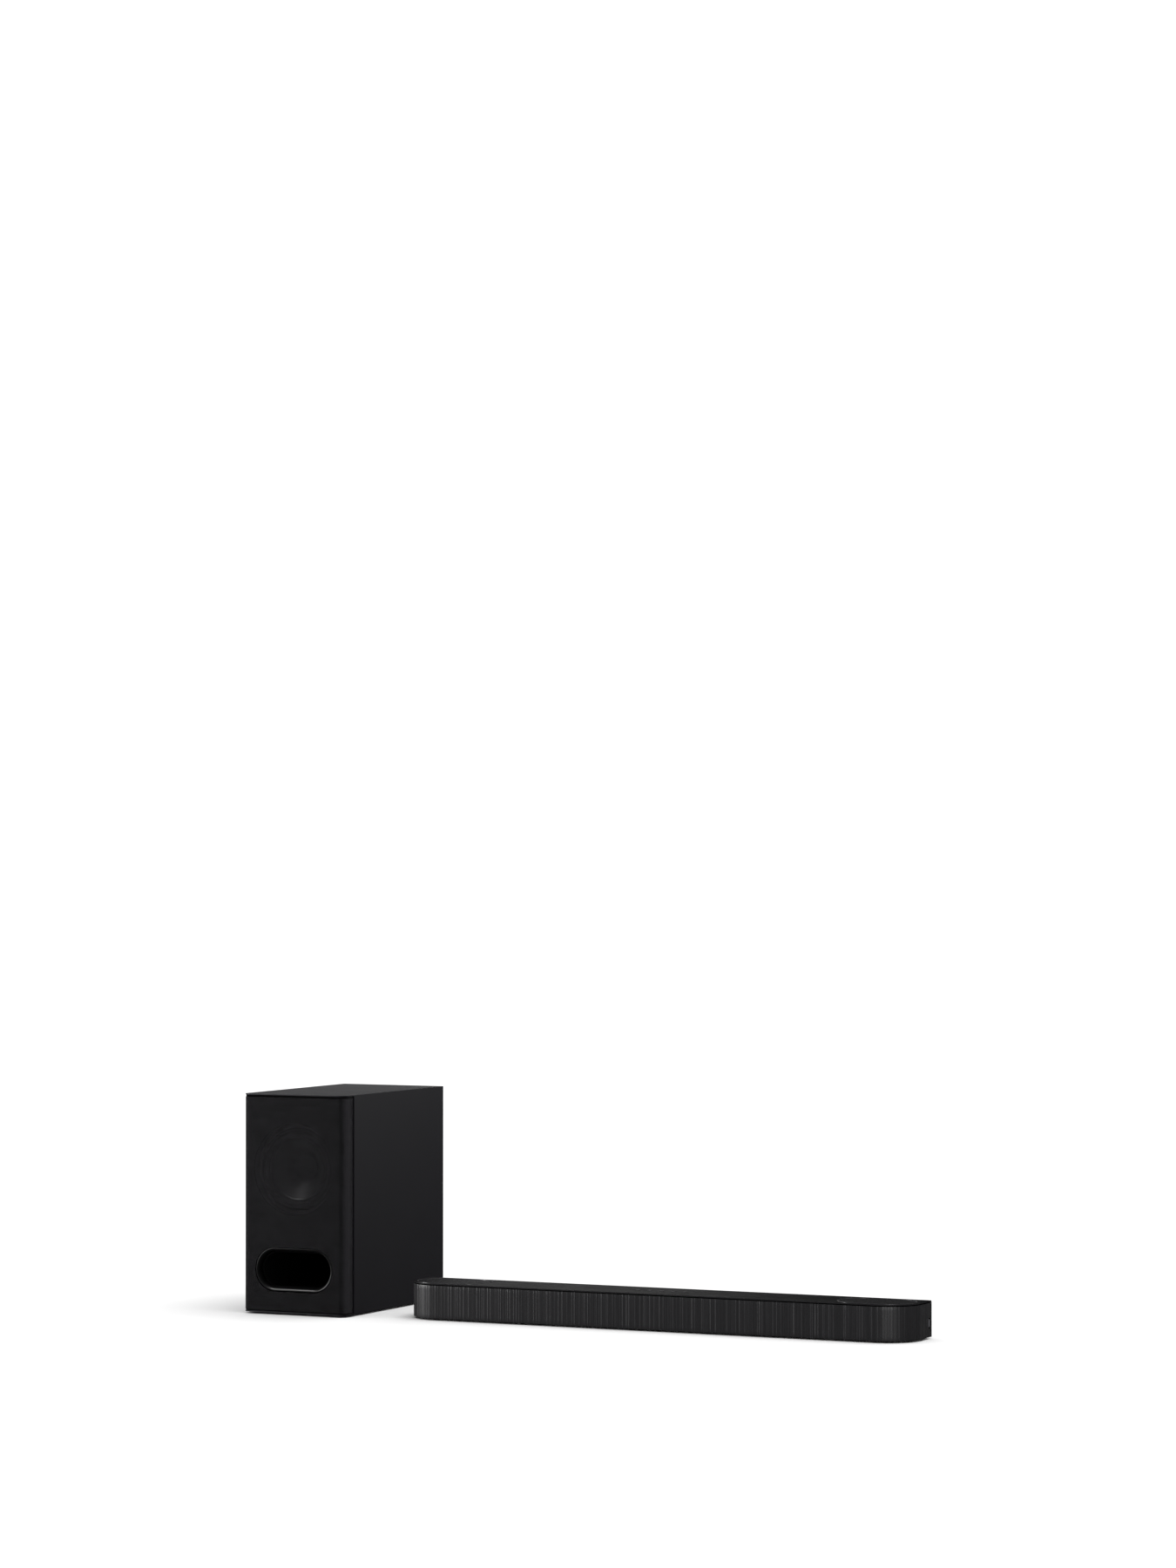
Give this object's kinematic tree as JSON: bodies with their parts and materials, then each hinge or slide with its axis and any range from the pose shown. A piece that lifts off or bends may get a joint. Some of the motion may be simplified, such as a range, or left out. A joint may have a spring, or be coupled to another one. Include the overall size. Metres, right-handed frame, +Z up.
{
  "type": "soundbar with wireless subwoofer",
  "caption": "Slim round-cornered bar speaker with ribbed knit grille and upward-firing ovals, with its tall boxy subwoofer that has a woven grille and an oblong port.",
  "frame": {"origin": "on the floor, at the middle of the footprint of the two units as they stand together", "axes": "+X along the bar towards its right end as the listener sees it, +Y towards the back, +Z up; both grilles face -Y"},
  "size_m": [1.25, 0.37, 0.3876],
  "materials": {
    "satin_black_plastic": "fine satin moulded texture",
    "cabinet_black": "board cabinet with a smooth satin black wrap",
    "bar_knit": "ribbed knit with uneven vertical lines",
    "sub_weave": "open plain weave, slightly see-through",
    "black_plastic": "matt",
    "gloss_black_plastic": "semi-gloss",
    "rubber": "matt",
    "cone_paper": "pressed paper cone, black",
    "stamped_steel": "stamped and plated",
    "ferrite": "ground ferrite and steel",
    "copper": "enamelled copper winding",
    "aluminium": "extruded, satin",
    "circuit_board": "green solder mask",
    "spider_cloth": "resin-dipped woven cloth",
    "baffle_board": "painted fibreboard"
  },
  "bodies": {
    "bar": {"amplifier_heat_sink": "aluminium", "bar_base_tray": "satin_black_plastic", "bar_foot_left": "rubber", "bar_foot_right": "rubber", "bar_front_frame": "satin_black_plastic", "bar_grille_fabric": "bar_knit", "bar_mains_inlet": "black_plastic", "bar_rear_cover": "satin_black_plastic", "bar_top_panel": "satin_black_plastic", "button_board": "circuit_board", "centre_driver_basket": "stamped_steel", "end_port_cap": "rubber", "front_baffle": "satin_black_plastic", "hdmi_socket": "stamped_steel", "left_driver_basket": "stamped_steel", "left_height_basket": "stamped_steel", "main_board": "circuit_board", "optical_socket": "black_plastic", "power_board": "circuit_board", "right_driver_basket": "stamped_steel", "right_height_basket": "stamped_steel", "speaker_harness": "rubber", "top_grille_left": "black_plastic", "top_grille_right": "black_plastic"},
    "subwoofer": {"port_duct": "black_plastic", "port_ring": "gloss_black_plastic", "rear_plate_screw_1": "stamped_steel", "rear_plate_screw_2": "stamped_steel", "rear_plate_screw_3": "stamped_steel", "rear_plate_screw_4": "stamped_steel", "sub_amplifier_board": "circuit_board", "sub_baffle": "baffle_board", "sub_cabinet": "cabinet_black", "sub_foot_back_left": "rubber", "sub_foot_back_right": "rubber", "sub_foot_front_left": "rubber", "sub_foot_front_right": "rubber", "sub_grille_fabric": "sub_weave", "sub_grille_frame": "satin_black_plastic", "sub_mains_inlet": "black_plastic", "sub_rear_plate": "satin_black_plastic", "woofer_basket": "stamped_steel", "woofer_magnet": "ferrite", "woofer_spider": "spider_cloth", "woofer_surround": "rubber"},
    "woofer_motion": {"woofer_cone": "cone_paper", "woofer_dust_cap": "cone_paper", "voice_coil": "copper"},
    "sub_power_button": {"sub_power_button": "black_plastic"},
    "sub_link_button": {"sub_link_button": "black_plastic"},
    "left_cone": {"left_driver_cone": "cone_paper"},
    "centre_cone": {"centre_driver_cone": "cone_paper"},
    "right_cone": {"right_driver_cone": "cone_paper"},
    "left_height_cone": {"left_height_cone": "cone_paper"},
    "right_height_cone": {"right_height_cone": "cone_paper"},
    "power_button": {"power_button": "black_plastic"},
    "input_button": {"input_button": "black_plastic"},
    "pairing_button": {"pairing_button": "black_plastic"},
    "volume_down_button": {"volume_down_button": "black_plastic"},
    "volume_up_button": {"volume_up_button": "black_plastic"}
  },
  "joints": [
    {"name": "subwoofer_placement", "type": "slide", "parent": "bar", "child": "subwoofer", "axis": [-1, 0, 0], "range_m": [0, 0.3]},
    {"name": "power_button_press", "type": "slide", "parent": "bar", "child": "power_button", "axis": [0, 0, -1], "range_m": [0, 0.0006], "stiffness_N_per_m": 600},
    {"name": "input_button_press", "type": "slide", "parent": "bar", "child": "input_button", "axis": [0, 0, -1], "range_m": [0, 0.0006], "stiffness_N_per_m": 600},
    {"name": "pairing_button_press", "type": "slide", "parent": "bar", "child": "pairing_button", "axis": [0, 0, -1], "range_m": [0, 0.0006], "stiffness_N_per_m": 600},
    {"name": "volume_down_button_press", "type": "slide", "parent": "bar", "child": "volume_down_button", "axis": [0, 0, -1], "range_m": [0, 0.0006], "stiffness_N_per_m": 600},
    {"name": "volume_up_button_press", "type": "slide", "parent": "bar", "child": "volume_up_button", "axis": [0, 0, -1], "range_m": [0, 0.0006], "stiffness_N_per_m": 600},
    {"name": "left_cone_travel", "type": "slide", "parent": "bar", "child": "left_cone", "axis": [0, -1, 0], "range_m": [-0.002, 0.002], "stiffness_N_per_m": 1500},
    {"name": "centre_cone_travel", "type": "slide", "parent": "bar", "child": "centre_cone", "axis": [0, -1, 0], "range_m": [-0.002, 0.002], "stiffness_N_per_m": 1500},
    {"name": "right_cone_travel", "type": "slide", "parent": "bar", "child": "right_cone", "axis": [0, -1, 0], "range_m": [-0.002, 0.002], "stiffness_N_per_m": 1500},
    {"name": "left_height_cone_travel", "type": "slide", "parent": "bar", "child": "left_height_cone", "axis": [0, -0.2588, 0.9659], "range_m": [-0.001, 0.001], "stiffness_N_per_m": 1500},
    {"name": "right_height_cone_travel", "type": "slide", "parent": "bar", "child": "right_height_cone", "axis": [0, -0.2588, 0.9659], "range_m": [-0.001, 0.001], "stiffness_N_per_m": 1500},
    {"name": "woofer_travel", "type": "slide", "parent": "subwoofer", "child": "woofer_motion", "axis": [0, -1, 0], "range_m": [-0.005, 0.005], "stiffness_N_per_m": 2500, "deforming": ["woofer_surround", "woofer_spider"]},
    {"name": "sub_power_button_press", "type": "slide", "parent": "subwoofer", "child": "sub_power_button", "axis": [0, -1, 0], "range_m": [0, 0.0007], "stiffness_N_per_m": 600},
    {"name": "sub_link_button_press", "type": "slide", "parent": "subwoofer", "child": "sub_link_button", "axis": [0, -1, 0], "range_m": [0, 0.0007], "stiffness_N_per_m": 600}
  ]
}
